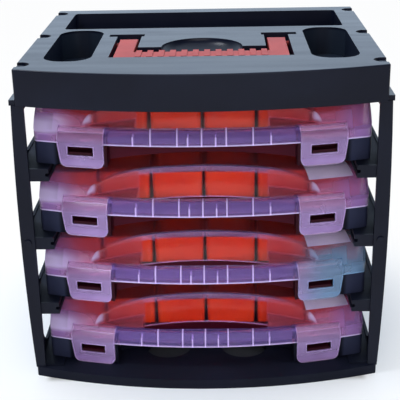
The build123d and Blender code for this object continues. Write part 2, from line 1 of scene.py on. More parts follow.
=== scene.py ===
# %% [markdown]
# # A carry rack with four assortment cases
# The imported model gives every rigid piece in its true place. This script adds what plastic looks like,
# and the small pieces that only the eye needs. The rack is moulded in blue-black plastic, the lids and
# latches in frosted clear plastic, and the bins and the handle in two reds.
#
# ## The imported model
# Every node stands at the origin, and its place is in its mesh. The rigid pieces could be built again
# here, but then the picture and the model could drift apart, so the imported pieces themselves are dressed.

# %% Load the imported model
from math import pi

import bmesh
import bpy
from mathutils import Matrix, Vector


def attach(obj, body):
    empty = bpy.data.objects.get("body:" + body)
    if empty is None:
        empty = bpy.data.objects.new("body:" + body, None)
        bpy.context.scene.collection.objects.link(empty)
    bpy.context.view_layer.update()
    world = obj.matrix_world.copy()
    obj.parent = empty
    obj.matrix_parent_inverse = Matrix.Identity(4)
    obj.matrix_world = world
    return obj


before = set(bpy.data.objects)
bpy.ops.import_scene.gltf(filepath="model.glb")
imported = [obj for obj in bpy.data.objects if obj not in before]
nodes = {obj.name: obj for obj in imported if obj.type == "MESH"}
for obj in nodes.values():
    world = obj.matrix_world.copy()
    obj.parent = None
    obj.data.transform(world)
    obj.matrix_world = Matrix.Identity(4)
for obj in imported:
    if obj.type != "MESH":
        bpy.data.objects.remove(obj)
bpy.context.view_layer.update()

# %% [markdown]
# ## The camera
# The eye is 0.95 m in front of the rack's middle and a little above its top, so that the deck is seen at
# a low angle. A camera can be turned by hand until a picture looks right. Here its place and its lens
# were solved from the rack's own corners instead, because then every other edge can be judged too.

# %% Place the camera
EYE = Vector((0.0191, -0.9513, 0.5075))
YAW, PITCH, ROLL = -0.0262, 0.3734, -0.0205
LENS, SENSOR = 87.36, 36
NEAREST = 0.01

lens = bpy.data.cameras.new("camera")
lens.lens, lens.sensor_width, lens.clip_start = LENS, SENSOR, NEAREST
camera = bpy.data.objects.new("camera", lens)
bpy.context.collection.objects.link(camera)
turn = (Matrix.Rotation(-YAW, 4, "Z") @ Matrix.Rotation(pi / 2 - PITCH, 4, "X")
        @ Matrix.Rotation(ROLL, 4, "Z"))
camera.matrix_world = Matrix.Translation(EYE) @ turn
bpy.context.scene.camera = camera
print("camera at", tuple(EYE))

# %% [markdown]
# ## Shader maths as Python
# A material is a small program made of nodes. Wrapping a node's output in a class with Python's own
# operators lets a pattern be written as an expression, which is easier to read than a drawing of links.

# %% A socket that can be added, multiplied and mixed
class Field:
    """One output socket. Python's operators on it add Math nodes."""

    def __init__(self, graph, socket):
        self.graph, self.socket = graph, socket

    def math(self, operation, *values):
        return self.graph.node("ShaderNodeMath", {"operation": operation}, dict(enumerate(values)))

    def __add__(self, other):
        return self.math("ADD", self, other)

    def __radd__(self, other):
        return self.math("ADD", other, self)

    def __sub__(self, other):
        return self.math("SUBTRACT", self, other)

    def __rsub__(self, other):
        return self.math("SUBTRACT", other, self)

    def __mul__(self, other):
        return self.math("MULTIPLY", self, other)

    def __rmul__(self, other):
        return self.math("MULTIPLY", other, self)

    def __truediv__(self, other):
        return self.math("DIVIDE", self, other)

    def __abs__(self):
        return self.math("ABSOLUTE", self)

    def either(self, other):
        """The larger of the two."""
        return self.math("MAXIMUM", self, other)

    def at_most(self, limit):
        return self.math("MINIMUM", self, limit)

    def ramp(self, low, high, bottom=0.0, top=1.0):
        """bottom below low, top above high, and a soft slope between. Low may be above high."""
        return self.graph.node("ShaderNodeMapRange", {"interpolation_type": "SMOOTHSTEP"}, {
            "Value": self, "From Min": low, "From Max": high, "To Min": bottom, "To Max": top})


# %% [markdown]
# ## Masks
# A mask is 1 where something shows and 0 elsewhere. The masks are products of three simple ones: what lies
# below an edge, what lies above it, and a band along a line. Each fades out over a soft margin, because a
# hard step would look like a cut. All measures are in metres.

# %% Edges, bands and distances
def below(value, edge, soft):
    """1 below the edge, falling to 0 over the soft margin above it."""
    return value.ramp(edge + soft, edge)


def above(value, edge, soft):
    """1 above the edge, falling to 0 over the soft margin below it."""
    return value.ramp(edge - soft, edge)


def band(value, centre, half, soft):
    """1 within half of the centre, falling to 0 over the soft margin outside it."""
    return below(abs(value - centre), half, soft)


def length(a, b):
    """The length of a flat vector."""
    square = a * a + b * b
    return square.math("SQRT", square)


# %% [markdown]
# ## Node trees
# Materials and the world are both node trees. One class adds nodes of any kind to either, and a second
# one knows the main shader that every new material starts with.

# %% A node tree, a material and a colour
class Graph:
    """A node tree under construction, with one method that adds any node."""

    def __init__(self, tree, output):
        self.tree, self.output = tree, tree.nodes[output]

    def node(self, kind, settings=None, values=None, out=0):
        made = self.tree.nodes.new(kind)
        for key, value in (settings or {}).items():
            setattr(made, key, value)
        for key, value in (values or {}).items():
            self.feed(made.inputs[key], value)
        return Field(self, made.outputs[out])

    def feed(self, socket, value):
        """Link a field to a socket, or store a constant in it."""
        if isinstance(value, Field):
            self.tree.links.new(value.socket, socket)
        else:
            socket.default_value = value

    def ray(self, kind):
        """1 for rays of this kind, such as Camera or Shadow."""
        return self.node("ShaderNodeLightPath", out=f"Is {kind} Ray")

    def blend(self, factor, first, second):
        """Blend two shaders."""
        return self.node("ShaderNodeMixShader", values={0: factor, 1: first, 2: second})

    def show(self, shader):
        self.feed(self.output.inputs["Surface"], shader)


class Finish(Graph):
    """A material, with its main shader and the patterns that the finishes share."""

    def __init__(self, name, **constants):
        self.material = bpy.data.materials.new(name)
        self.material.use_nodes = True
        super().__init__(self.material.node_tree, "Material Output")
        self.shader = self.tree.nodes["Principled BSDF"]
        for socket, value in constants.items():
            self.set(socket.replace("_", " "), value)

    def set(self, socket, value):
        self.feed(self.shader.inputs[socket], value)

    def where(self):
        """Object coordinates, in metres."""
        return self.node("ShaderNodeTexCoord", out="Object")

    def parts(self, where):
        """The x, y and z of a place."""
        return [self.node("ShaderNodeSeparateXYZ", values={0: where}, out=axis) for axis in "XYZ"]

    def noise(self, where, scale, detail=2.0, stretch=None):
        if stretch:
            where = self.node("ShaderNodeMapping", values={"Vector": where, "Scale": stretch})
        return self.node("ShaderNodeTexNoise", values={
            "Vector": where, "Scale": scale, "Detail": detail})

    def mix(self, factor, first, second):
        """Blend two colours."""
        return self.node("ShaderNodeMix", {"data_type": "RGBA"},
                         {0: factor, 6: first, 7: second}, out=2)

    def bumps(self, height, distance, strength):
        return self.node("ShaderNodeBump", values={
            "Height": height, "Distance": distance, "Strength": strength})


def colour(red, green, blue):
    """An opaque colour in linear light."""
    return (red, green, blue, 1.0)


def dress(finish, *names):
    """Give CAD nodes a finish."""
    for name in names:
        nodes[name].data.materials.clear()
        nodes[name].data.materials.append(finish.material)
    print(finish.material.name, "on", len(names), "nodes")


# %% [markdown]
# ## Places that several finishes use
# All four cases are alike and stand one pitch apart, so a pattern on one of them is written once, with
# the height above the underside of whichever case a point is in. Their fronts follow one big circle,
# and the depth behind that circle is the second measure that the patterns use.

# %% Measures of the cases
CASE_COUNT = 4
FIRST_LEVEL, CASE_PITCH = 0.011, 0.068
BOW_CENTRE_Y, CASE_RADIUS = 0.37493, 0.50443
LATCH_X = 0.1105


def of_each_case(*endings):
    """The names of these nodes in all the cases."""
    return [f"case_{n}_{ending}" for n in range(1, CASE_COUNT + 1) for ending in endings]


def case_height(z):
    """Height above the underside of the case that this point is in."""
    step = (z - FIRST_LEVEL) / CASE_PITCH
    return step.math("FRACT", step) * CASE_PITCH


def case_depth(x, y):
    """Distance behind the bowed front of the cases."""
    return CASE_RADIUS - length(x, y - BOW_CENTRE_Y)


# %% [markdown]
# ## Moulded black plastic
# Injection-moulded polypropylene has a fine spark-eroded grain, so it is satin and not glossy. Handling
# polishes it in streaks and leaves faint pale rubs, which show best on the flat deck. The rack and the
# trays of the cases share this recipe. A flat black would do from far away, but up close only the uneven
# gloss tells plastic from paint, so the streaks go into the roughness.

# %% A recipe for black plastic
CLOUD_SCALE, STREAK_SCALE, RUB_SCALE = 14, 30, 60
CLOUD_DETAIL, STREAK_DETAIL, RUB_DETAIL = 4, 3, 5
STREAK_STRETCH, RUB_STRETCH = (0.25, 2.2, 1), (0.2, 1.4, 1)
NOISE_MEAN, RUB_FROM, RUB_TO = 0.5, 0.12, 0.26
CLOUD_FROM, CLOUD_TO = 0.35, 0.7
CLOUD_SHARE, RUB_SHARE = 0.6, 0.3
SATIN, STREAK_DULL, RUB_DULL = 0.24, 0.16, 0.08
GRAIN_DEPTH, GRAIN_STRENGTH = 0.00006, 0.5


def moulded_black(name, gloss, deep, pale, grain, dull):
    """Returns the finish, its colour so far, and the x, y and z that its masks use. dull gives the
    roughness that a place has beyond the rest."""
    finish = Finish(name, Specular_IOR_Level=gloss)
    where = finish.where()
    x, y, z = finish.parts(where)
    cloud = finish.noise(where, CLOUD_SCALE, CLOUD_DETAIL)
    streak = finish.noise(where, STREAK_SCALE, STREAK_DETAIL, STREAK_STRETCH)
    rubs = (finish.noise(where, RUB_SCALE, RUB_DETAIL, RUB_STRETCH) - NOISE_MEAN).ramp(RUB_FROM, RUB_TO)
    shade = finish.mix(cloud.ramp(CLOUD_FROM, CLOUD_TO) * CLOUD_SHARE + rubs * RUB_SHARE, deep, pale)
    finish.set("Roughness", SATIN + STREAK_DULL * streak + RUB_DULL * rubs + dull(x, y, z))
    finish.set("Normal", finish.bumps(finish.noise(where, grain), GRAIN_DEPTH, GRAIN_STRENGTH))
    return finish, shade, (x, y, z)


# %% [markdown]
# ## The rack
# The faces inside the bays and on the floor are duller than the outside, as a moulding is where no hand
# has polished it. The two round-ended wells in the deck are painted a little paler than the rest, which is
# painted light that lifts their shade. Masks from the coordinates do this without cutting the mesh into
# pieces with finishes of their own.

# %% Blue-black rack plastic
BAY_TOP, BAY_TOP_SOFT = 0.266, 0.006
BAY_FRONT_Y, BAY_FRONT_SOFT = -0.119, 0.007
FLOOR_TOP, FLOOR_TOP_SOFT = 0.0110, 0.0015
INSIDE_DULL = 0.36
WELL_X, WELL_HALF_X, WELL_SOFT_X = 0.122, 0.0210, 0.0015
WELL_Y, WELL_HALF_Y, WELL_SOFT_Y = -0.0305, 0.067, 0.002
WELL_TOP, WELL_TOP_SOFT = 0.3050, 0.0015


def inside_rack(x, y, z):
    bay = below(z, BAY_TOP, BAY_TOP_SOFT) * above(y, BAY_FRONT_Y, BAY_FRONT_SOFT)
    return INSIDE_DULL * bay.either(below(z, FLOOR_TOP, FLOOR_TOP_SOFT))


rack_black, shade, (x, y, z) = moulded_black(
    "rack black", 0.18, colour(0.0028, 0.0042, 0.0125), colour(0.0058, 0.0082, 0.021), 2200,
    inside_rack)
# Painted light: a paler colour in the wells lifts their shade.
painted_well_light = (band(abs(x), WELL_X, WELL_HALF_X, WELL_SOFT_X) * band(y, WELL_Y, WELL_HALF_Y, WELL_SOFT_Y)
        * below(z, WELL_TOP, WELL_TOP_SOFT))
rack_black.set("Base Color", rack_black.mix(painted_well_light, shade, colour(0.0125, 0.0180, 0.0300)))
dress(rack_black, "rack_top", "rack_side_left", "rack_side_right", "rack_floor", "rack_back")

# %% [markdown]
# ## The trays of the cases
# The trays stand between lids full of red, and red light bounced from them is painted into the trays: on
# the front, in the slots of the latches, behind the grip bar and between the bins. The corners by the open
# sides get a painted pale blue light instead. The front of the lowest tray has no lid below it, so it takes
# the painted red only in its slots and behind its bar. Bounced light alone left these faces grey, so the
# red is painted in.

# %% Black tray plastic
FRONT_DEPTH, FRONT_SOFT = 0.016, 0.004
UPPER_Z, UPPER_SOFT = 0.080, 0.010
CORNER_X, CORNER_SOFT = 0.137, 0.004
WARM_X, WARM_SOFT = 0.120, 0.014
SLOT_HALF_X, SLOT_SOFT_X = 0.0110, 0.0015
SLOT_HEIGHT, SLOT_HALF, SLOT_SOFT = 0.0145, 0.0045, 0.0010
BEHIND_Y, BEHIND_SOFT = -0.080, 0.008
BEHIND_LOW, BEHIND_LOW_SOFT = 0.014, 0.003
TUB_X, TUB_SOFT_X = 0.1500, 0.0015
TUB_FRONT_Y, TUB_FRONT_SOFT = -0.070, 0.008
TUB_REAR_Y, TUB_REAR_SOFT = 0.134, 0.004
TUB_FLOOR, TUB_FLOOR_SOFT = 0.0018, 0.0006
TRAY_DULL = 0.1


def tray_dull(x, y, z):
    return TRAY_DULL


case_black, shade, (x, y, z) = moulded_black(
    "case black", 0.09, colour(0.0045, 0.0055, 0.012), colour(0.008, 0.009, 0.019), 2600, tray_dull)
height = case_height(z)
front = below(case_depth(x, y), FRONT_DEPTH, FRONT_SOFT)
upper = above(z, UPPER_Z, UPPER_SOFT)
# Painted light: the corners by the open sides get a paler blue than the black plastic.
corner = above(abs(x), CORNER_X, CORNER_SOFT)
slot = (band(abs(x), LATCH_X, SLOT_HALF_X, SLOT_SOFT_X)
        * band(height, SLOT_HEIGHT, SLOT_HALF, SLOT_SOFT))
painted_red_bounce_front = front * (below(abs(x), WARM_X, WARM_SOFT) * upper + slot * (1 - upper))
painted_red_bounce_behind_bar = below(y, BEHIND_Y, BEHIND_SOFT) * (1 - front) * (
    upper + (1 - upper) * above(height, BEHIND_LOW, BEHIND_LOW_SOFT))
painted_red_bounce_in_tub = (below(abs(x), TUB_X, TUB_SOFT_X) * above(height, TUB_FLOOR, TUB_FLOOR_SOFT)
       * above(y, TUB_FRONT_Y, TUB_FRONT_SOFT) * below(y, TUB_REAR_Y, TUB_REAR_SOFT))
# Painted light: the pale blue on the corners and the red bounced from the bins go into the colour.
for mask, painted in ((corner, colour(0.025, 0.029, 0.060)),
                      (painted_red_bounce_front, colour(0.029, 0.0032, 0.0085)),
                      (painted_red_bounce_behind_bar, colour(0.060, 0.0030, 0.0120)),
                      (painted_red_bounce_in_tub, colour(0.050, 0.0030, 0.0080))):
    shade = case_black.mix(mask, shade, painted)
case_black.set("Base Color", shade)
dress(case_black, *of_each_case("base"))

# %% [markdown]
# ## Two reds
# The handle is a chalky coral red, and the bins are an orange red with smoother walls. Both are plain
# plastics with a soft cloud in their colour and their gloss, and a fine grain. One function makes both,
# because only the numbers differ.

# %% Coral handle and orange-red bins
PLAIN_CLOUD_FROM, PLAIN_CLOUD_TO = 0.3, 0.75


def plain_plastic(name, gloss, clouds, deep, pale, roughness, grain):
    """clouds, roughness and grain are pairs or triples, in the order in which they are unpacked."""
    cloud_scale, cloud_detail = clouds
    smooth, cloudy = roughness
    grain_scale, depth, strength = grain
    finish = Finish(name, Specular_IOR_Level=gloss)
    where = finish.where()
    cloud = finish.noise(where, cloud_scale, cloud_detail)
    finish.set("Base Color", finish.mix(
        cloud.ramp(PLAIN_CLOUD_FROM, PLAIN_CLOUD_TO), deep, pale))
    finish.set("Roughness", smooth + cloudy * cloud)
    finish.set("Normal", finish.bumps(finish.noise(where, grain_scale), depth, strength))
    return finish


handle_red = plain_plastic(
    "handle red", 0.08, clouds=(40, 4), deep=colour(0.29, 0.034, 0.028), pale=colour(0.37, 0.058, 0.050),
    roughness=(0.42, 0.16), grain=(2400, 0.00005, 0.5))
dress(handle_red, "carry_handle")
bin_red = plain_plastic(
    "bin red", 0.08, clouds=(22, 3), deep=colour(0.51, 0.021, 0.0022), pale=colour(0.61, 0.038, 0.004),
    roughness=(0.34, 0.12), grain=(900, 0.00003, 0.4))
dress(bin_red, *of_each_case("bins_front", "bins_rear"))

# %% [markdown]
# ## Frosted clear plastic
# The lids and latches are clear plastic with a milky lilac haze. Their surface blends two shaders: a
# slightly rough glass, and a solid lilac plastic, which is the milk. A mask called milk says how much of
# the second there is, from a trace on the flat tops to more than half on the ribs. One glass with a lilac
# tint would be simpler, but its ribs would then be as clear as its tops. Lamps shine through a lid in
# proportion to how clear it is, so the bins below it are lit.

# %% A recipe for frosted plastic
GLASS_BEND, GLASS_GLOSS, MILK_GLOSS = 1.30, 0.2, 0.25
MILK_DULLER = 0.15
FROST_CLOUD_SCALE, FROST_CLOUD_DETAIL, FROST_GRAIN_SCALE = 26, 3, 700
FROST_DEPTH, FROST_STRENGTH = 0.00002, 0.4
FROST_CLOUD_FROM, FROST_CLOUD_TO = 0.3, 0.7
BEVEL_SAMPLES, EDGE_FROM, EDGE_FULL = 6, 0.02, 0.2


def edge_glow(finish, radius):
    """1 on sharp edges, where light runs out of a clear moulding, and 0 on its faces."""
    rounded = finish.node("ShaderNodeBevel", {"samples": BEVEL_SAMPLES}, {"Radius": radius})
    flat = finish.node("ShaderNodeNewGeometry", out="Normal")
    alike = finish.node("ShaderNodeVectorMath", {"operation": "DOT_PRODUCT"},
                        {0: rounded, 1: flat}, out="Value")
    return (1 - alike).ramp(EDGE_FROM, EDGE_FULL)


def frost(name, tint_low, tint_high, look):
    """A clear shell with milk in it. look gives the milk, from 0, clear, to 1, opaque, the roughness of
    the glass, and pairs of a mask and the colour that the milk has there."""
    finish = Finish(name, Specular_IOR_Level=MILK_GLOSS)
    where = finish.where()
    cloud = finish.noise(where, FROST_CLOUD_SCALE, FROST_CLOUD_DETAIL)
    milk, roughness, tinted = look(finish, finish.parts(where), cloud)
    tint = finish.mix(cloud.ramp(FROST_CLOUD_FROM, FROST_CLOUD_TO), tint_low, tint_high)
    for mask, painted in tinted:
        tint = finish.mix(mask, tint, painted)
    bumps = finish.bumps(finish.noise(where, FROST_GRAIN_SCALE), FROST_DEPTH, FROST_STRENGTH)
    finish.set("Base Color", tint)
    finish.set("Roughness", roughness + MILK_DULLER)
    finish.set("Normal", bumps)
    glass = finish.node("ShaderNodeBsdfPrincipled", values={
        "Base Color": colour(0.97, 0.93, 0.97), "Roughness": roughness, "IOR": GLASS_BEND,
        "Specular IOR Level": GLASS_GLOSS, "Transmission Weight": 1.0, "Normal": bumps})
    surface = finish.blend(milk, glass, Field(finish, finish.shader.outputs[0]))
    open_air = finish.node("ShaderNodeBsdfTransparent", values={"Color": colour(0.95, 0.90, 0.96)})
    finish.show(finish.blend(finish.ray("Shadow") * (1 - milk), surface, open_air))
    return finish


# %% [markdown]
# ## Where the milk is
# A lid is milky where its wall is thick or is seen edge on: on the grip bar and its ribs, the floor of the
# finger pocket and the sloped front. The pocket's rear wall is an arch, struck from a point in front of the
# rack, and its two front corners are small round lobes. A painted highlight runs along the pocket's rim and
# down the walls of the lobes, and the hem carries a painted pale line of light. The third lid from the top
# is a bluer moulding towards its right end, and so is the latch there. The pale sheen on the left
# shoulders stands for a soft reflection, and is painted in. Painted light also lifts the shade in the
# seats above the latches.

# %% Measures of the lids' pattern
SOFT = 0.0015
ARCH_CENTRE_Y, ARCH_RADIUS = -0.2935, 0.214
BAR_DEPTH, BAR_TOP, BAR_END_X = 0.0115, 0.0360, 0.0885
LONG_RIBS, SHORT_RIBS, RIB_HALF = (0, 0.022, 0.046), (0.0125, 0.062), 0.0010
SHORT_RIB_TOP, RIB_CORE = 0.0290, 0.4
WALL_HALF, WALL_TOP, WALL_TOP_SOFT = 0.0045, 0.051, 0.002
WALL_DEPTH, WALL_DEPTH_SOFT = 0.015, 0.003
ENDS_X, ENDS_SOFT = 0.0625, 0.0025
FLOOR_HEIGHT, FLOOR_HALF, FLOOR_SOFT = 0.0345, 0.0016, 0.0006
FLOOR_END_X, FLOOR_DEPTH, FLOOR_DEPTH_SOFT = 0.0625, 0.0120, 0.0010
LOBE_X, LOBE_Y, LOBE_RADIUS = 0.093, -0.117, 0.0145
LOBE_HALF, LOBE_SOFT = 0.0012, 0.0018
LOBE_OUT_X, LOBE_OUT_SOFT = 0.104, 0.006
LOBE_LOW, LOBE_LOW_SOFT = 0.040, 0.004
RIM_REACH, RIM_HALF, RIM_SOFT = 0.0012, 0.0018, 0.0012
RIM_LOW, RIM_LOW_SOFT = 0.050, 0.003
FOOT_HALF, FOOT_TOP, FOOT_SOFT = 0.0020, 0.0225, 0.0010
SKIRT_DEPTH, HEM_TOP, HEM_SOFT = 0.0015, 0.0218, 0.0008
SLOPE_DEPTH, SLOPE_SOFT = 0.020, 0.020
LID_CORNER_X, LID_CORNER_SOFT = 0.145, 0.033
SHEEN_X, SHEEN_SOFT_X = -0.150, 0.046
SHEEN_LOW, SHEEN_LOW_SOFT = 0.032, 0.005
SHEEN_HIGH, SHEEN_HIGH_SOFT = 0.037, 0.008
SEAT_HALF, SEAT_SOFT = 0.0245, 0.0025
SEAT_DEPTH, SEAT_DEPTH_SOFT = 0.013, 0.003
SEAT_LOW, SEAT_LOW_SOFT = 0.034, 0.004
COLD_X, COLD_SOFT_X = 0.120, 0.045
COLD_Z, COLD_HALF_Z, COLD_SOFT_Z = 0.106, 0.030, 0.004
COLD = colour(0.24, 0.42, 0.66)
CLEAR_MILK, CLOUD_MILK = 0.006, 0.02
LID_ROUGH, LID_CLOUDY, WALL_SMOOTHER = 0.20, 0.08, 0.14
LID_EDGE = 0.0007


def stripes(x, places):
    """The ribs that stand this far either side of the middle."""
    core = RIB_CORE * RIB_HALF
    return sum(band(abs(x), place, core, RIB_HALF - core) for place in places)


def cold_corner(x, z):
    return above(x, COLD_X, COLD_SOFT_X) * band(z, COLD_Z, COLD_HALF_Z, COLD_SOFT_Z)


# %% [markdown]
# ## The parts of a lid
# Each part of the lid gets a mask, and a table gives the share of milk that the part adds. The table can
# be read and changed line by line, which a sum written out in one piece does not allow.

# %% The lids' pattern
def lid_look(finish, parts, cloud):
    x, y, z = parts
    height, depth, side = case_height(z), case_depth(x, y), abs(x)
    arch = length(x, y - ARCH_CENTRE_Y) - ARCH_RADIUS
    lobe_ring = length(side - LOBE_X, y - LOBE_Y)

    # The grip bar, its ribs, and the pocket behind it
    bar = below(depth, BAR_DEPTH, SOFT) * below(height, BAR_TOP, SOFT) * below(side, BAR_END_X, SOFT)
    ribs = bar * (stripes(x, LONG_RIBS) + stripes(x, SHORT_RIBS) * below(height, SHORT_RIB_TOP, SOFT))
    wall = (band(arch, 0, WALL_HALF, SOFT) * below(height, WALL_TOP, WALL_TOP_SOFT)
            * above(depth, WALL_DEPTH, WALL_DEPTH_SOFT))
    wall_ends = wall * above(side, ENDS_X, ENDS_SOFT)
    floor = (above(side, FLOOR_END_X, SOFT) * band(height, FLOOR_HEIGHT, FLOOR_HALF, FLOOR_SOFT)
             * above(depth, FLOOR_DEPTH, FLOOR_DEPTH_SOFT))
    # Painted highlight down the walls of the round lobes.
    painted_lobe_highlight = (band(lobe_ring, LOBE_RADIUS, LOBE_HALF, LOBE_SOFT)
            * above(side, LOBE_OUT_X, LOBE_OUT_SOFT) * above(height, LOBE_LOW, LOBE_LOW_SOFT))
    # Painted highlight along the top of the pocket's rim.
    painted_rim_highlight = band(arch, RIM_REACH, RIM_HALF, RIM_SOFT) * above(height, RIM_LOW, RIM_LOW_SOFT)
    foot = band(arch, 0, FOOT_HALF, FOOT_SOFT) * below(height, FOOT_TOP, FOOT_SOFT)

    # The outside of the lid
    skirt = below(depth, SKIRT_DEPTH, SOFT)
    # Painted light: a pale line of edge light along the bottom of the skirt.
    painted_hem_light = skirt * below(height, HEM_TOP, HEM_SOFT)
    slope = below(depth, SLOPE_DEPTH, SLOPE_SOFT) * (1 - bar) * (1 - wall)
    corner = above(side, LID_CORNER_X, LID_CORNER_SOFT) * slope
    sheen = (below(x, SHEEN_X, SHEEN_SOFT_X) * slope * above(height, SHEEN_LOW, SHEEN_LOW_SOFT)
             * below(height, SHEEN_HIGH, SHEEN_HIGH_SOFT))
    # Painted light: milk lifts the shaded band in the seats above the latches.
    painted_seat_light = (band(side, LATCH_X, SEAT_HALF, SEAT_SOFT) * below(depth, SEAT_DEPTH, SEAT_DEPTH_SOFT)
            * above(height, SEAT_LOW, SEAT_LOW_SOFT))

    milk = CLEAR_MILK + CLOUD_MILK * cloud * (1 - wall)
    for mask, share in (
            (bar, 0.18), (ribs, 0.45), (wall_ends, 0.16), (floor, 0.26), (painted_lobe_highlight, 0.30), (painted_rim_highlight, 0.20),
            (foot, 0.30), (skirt, 0.08), (painted_hem_light, 0.40), (slope, 0.11), (corner, 0.22), (sheen, 0.70),
            (painted_seat_light, 0.24), (edge_glow(finish, LID_EDGE), 0.30)):
        milk = milk + share * mask
    roughness = LID_ROUGH + LID_CLOUDY * cloud - WALL_SMOOTHER * (wall - wall_ends)
    return milk, roughness, (
        (slope, colour(0.74, 0.22, 0.44)),
        (corner, colour(0.50, 0.26, 0.68)),
        (bar, colour(0.19, 0.11, 0.44)),
        (floor, colour(0.60, 0.11, 0.17)),
        (wall_ends, colour(0.68, 0.12, 0.20)),
        # Pale for the milkier ribs, and painted light on the hem, the lobes' walls and the left shoulders'
        # sheen.
        ((ribs + painted_hem_light + painted_lobe_highlight + sheen).at_most(1.0), colour(0.78, 0.62, 0.98)),
        (cold_corner(x, z), COLD))


lid_clear = frost("lid clear", colour(0.48, 0.24, 0.60), colour(0.60, 0.36, 0.76), lid_look)
dress(lid_clear, *of_each_case("lid"))

# %% [markdown]
# ## The latches
# The latches are milkier than the lids. They are clearest at the neck, where they hang from the lid, and
# palest on their edges. They use the same recipe as the lids, with a pattern of their own.

# %% The latches' pattern
LATCH_MILK, LATCH_CLOUD, LIP_MILK, NECK_CLEARER, LATCH_EDGE_MILK = 0.28, 0.1, 0.10, 0.10, 0.55
NECK_HEIGHT, NECK_SOFT, NECK_TINT = 0.030, 0.011, 0.7
LIP_HEIGHT, LIP_SOFT = 0.003, 0.006
LATCH_ROUGH, LATCH_CLOUDY = 0.22, 0.08
LATCH_EDGE, EDGE_TINT = 0.0011, 0.8


def latch_look(finish, parts, cloud):
    x, _, z = parts
    height = case_height(z)
    neck = above(height, NECK_HEIGHT, NECK_SOFT)
    lip = below(height, LIP_HEIGHT, LIP_SOFT)
    edge = edge_glow(finish, LATCH_EDGE)
    milk = (LATCH_MILK + LATCH_CLOUD * cloud + LIP_MILK * lip - NECK_CLEARER * neck
            + LATCH_EDGE_MILK * edge)
    return milk, LATCH_ROUGH + LATCH_CLOUDY * cloud, (
        (neck * NECK_TINT, colour(0.56, 0.30, 0.60)),
        (edge * EDGE_TINT, colour(0.80, 0.66, 0.98)),
        (cold_corner(x, z), COLD))


latch_clear = frost("latch clear", colour(0.48, 0.30, 0.68), colour(0.58, 0.40, 0.80), latch_look)
dress(latch_clear, *of_each_case("latch_left", "latch_right"))

# %% [markdown]
# ## The hinge pins
# The lids turn on steel pins, hidden in their knuckles. Drawn wire has fine scratches along its length,
# so the noise is stretched along the pins, which lie from side to side. They hardly show, and get no more
# than that.

# %% Steel hinge pins
SHADE_SCALE, SCRATCH_SCALE, STEEL_DETAIL = 300, 500, 2
SCRATCH_STRETCH = (0.1, 1, 1)
STEEL_ROUGH, STEEL_SCRATCHY = 0.25, 0.2

pin_steel = Finish("pin steel", Metallic=1.0)
where = pin_steel.where()
pin_steel.set("Base Color", pin_steel.mix(
    pin_steel.noise(where, SHADE_SCALE, STEEL_DETAIL, SCRATCH_STRETCH),
    colour(0.5, 0.5, 0.52), colour(0.7, 0.7, 0.72)))
pin_steel.set("Roughness", STEEL_ROUGH + STEEL_SCRATCHY * pin_steel.noise(
    where, SCRATCH_SCALE, STEEL_DETAIL, SCRATCH_STRETCH))
dress(pin_steel, *of_each_case("hinge_pin_left", "hinge_pin_right"))

# %% [markdown]
# ## Blank labels
# Three of the lids carry a small label of blank paper on their right shoulder. The white paper is painted a
# pale lilac, which stands for the lilac cast of the shade it lies in, and it has a soft tooth. It could
# share the lids' finish with more milk in it, but paper is matt, and that sets it apart from the plastic
# around it.

# %% Label paper
PAPER_CLOUD_SCALE, TOOTH_SCALE, PAPER_DETAIL = 60, 1500, 3
PAPER_CLOUD_FROM, PAPER_CLOUD_TO = 0.3, 0.7
TOOTH_DEPTH, TOOTH_STRENGTH = 0.00003, 0.4

label_paper = Finish("label paper", Roughness=0.55, Specular_IOR_Level=0.3)
where = label_paper.where()
cloud = label_paper.noise(where, PAPER_CLOUD_SCALE, PAPER_DETAIL)
# Painted light: the white paper is tinted pale lilac for the cast of the shade it lies in.
label_paper.set("Base Color", label_paper.mix(
    cloud.ramp(PAPER_CLOUD_FROM, PAPER_CLOUD_TO), colour(0.74, 0.60, 0.92), colour(0.82, 0.68, 0.97)))
label_paper.set("Normal", label_paper.bumps(
    label_paper.noise(where, TOOTH_SCALE, PAPER_DETAIL), TOOTH_DEPTH, TOOTH_STRENGTH))
print(label_paper.material.name, "made")

# %% [markdown]
# ## Bending a label to the lid
# A flat card would cut into the lid, which is curved both ways, and a modifier that shrinks a sheet onto
# it would follow every small rib. So the label's short edge is spun along the shoulder's curve, and that
# line is spun again about the axis of the bow. Then it gets its thickness, and rides on its own case.

# %% Labels on the lids' shoulders
LABELLED = (2, 3, 4)
SHOULDER_Y, SHOULDER_Z, SHOULDER_RADIUS = -0.0845, 0.002044, 0.052456
LABEL_LIFT, LABEL_THICK = 0.0002, 0.0001
LABEL_FROM, LABEL_TO, LABEL_STEPS = 0.204, 0.294, 10
LABEL_LOW, LABEL_HIGH, EDGE_STEPS = 0.56, 0.08, 8


def add(name, shape, finish):
    """Turn a finished shape into an object of the scene."""
    mesh = bpy.data.meshes.new(name)
    shape.to_mesh(mesh)
    shape.free()
    mesh.materials.append(finish.material)
    made = bpy.data.objects.new(name, mesh)
    bpy.context.collection.objects.link(made)
    return made


